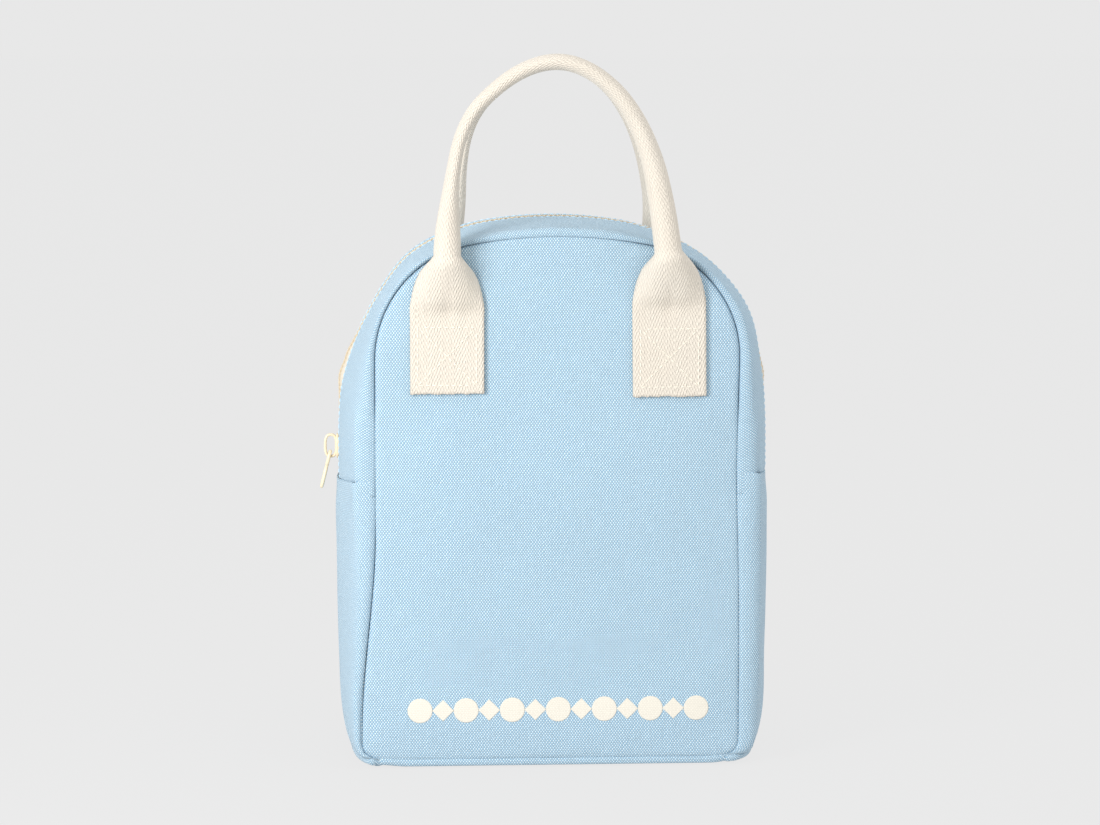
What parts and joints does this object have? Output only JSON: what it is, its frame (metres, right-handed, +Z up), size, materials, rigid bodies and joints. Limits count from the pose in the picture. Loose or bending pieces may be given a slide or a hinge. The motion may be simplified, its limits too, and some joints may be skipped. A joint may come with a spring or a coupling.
{
  "type": "soft zip-top lunch bag",
  "caption": "Soft lunch bag of canvas with an arched top, a zip over it, side slip pockets, a lining, and two upright webbing handles.",
  "frame": {"origin": "on the ground under the middle of the base panel, in the plane of the zip", "axes": "+X to the right seen from the front, +Y from the front panel to the back, +Z up"},
  "size_m": [0.2424, 0.1404, 0.3727],
  "materials": {
    "canvas": "heavy plain-weave cotton canvas, light blue, matt",
    "lining": "coated wipe-clean polyester lining, light grey, slight sheen",
    "webbing": "thick twill cotton webbing, cream",
    "thread": "cream sewing thread",
    "zip_tape": "woven zip tape, cream",
    "zip_teeth": "moulded zip teeth, cream",
    "slider_metal": "die-cast metal with cream enamel",
    "print_ink": "cream screen print, matt"
  },
  "bodies": {
    "bag": {"base_panel": "canvas", "base_lining": "lining", "back_panel": "canvas", "back_lining": "lining", "front_panel_lower": "canvas", "front_lining_lower": "lining", "left_side_panel": "canvas", "right_side_panel": "canvas", "left_side_lining": "lining", "right_side_lining": "lining", "left_side_pocket": "canvas", "right_side_pocket": "canvas", "back_gusset_strip": "canvas", "back_gusset_lining": "lining", "back_zip_tape": "zip_tape", "back_zip_teeth": "zip_teeth", "zip_end_stops": "slider_metal", "inner_pocket": "lining", "front_print": "print_ink", "back_handle_left_end": "webbing", "back_handle_right_end": "webbing", "back_handle_stitching": "thread"},
    "front_top": {"front_panel_upper": "canvas", "front_lining_upper": "lining", "front_gusset_strip": "canvas", "front_gusset_lining": "lining", "front_zip_tape": "zip_tape", "front_zip_teeth": "zip_teeth", "front_handle_left_end": "webbing", "front_handle_right_end": "webbing", "front_handle_stitching": "thread"},
    "slider": {"slider_body": "slider_metal", "slider_crown": "slider_metal"},
    "pull": {"pull_tab": "slider_metal"},
    "front_handle": {"front_handle_loop": "webbing"},
    "back_handle": {"back_handle_loop": "webbing"}
  },
  "joints": [
    {"name": "mouth", "type": "hinge", "parent": "bag", "child": "front_top", "pos_m": [0, -0.0589, 0.148], "axis": [1, 0, 0], "range_deg": [0, 25], "deforming": ["front_zip_tape", "front_zip_teeth"]},
    {"name": "slider_run", "type": "slide", "parent": "bag", "child": "slider", "axis": [0, 0, 1], "range_m": [0, 0.026], "deforming": ["back_zip_teeth"]},
    {"name": "pull_swing", "type": "hinge", "parent": "slider", "child": "pull", "pos_m": [-0.11775, 0, 0.16], "axis": [0, 1, 0], "range_deg": [0, 125]},
    {"name": "front_handle_flop", "type": "hinge", "parent": "front_top", "child": "front_handle", "pos_m": [0, -0.0706, 0.278], "axis": [1, 0, 0], "range_deg": [-35, 170]},
    {"name": "back_handle_flop", "type": "hinge", "parent": "bag", "child": "back_handle", "pos_m": [0, 0.0706, 0.278], "axis": [-1, 0, 0], "range_deg": [-35, 170]}
  ]
}
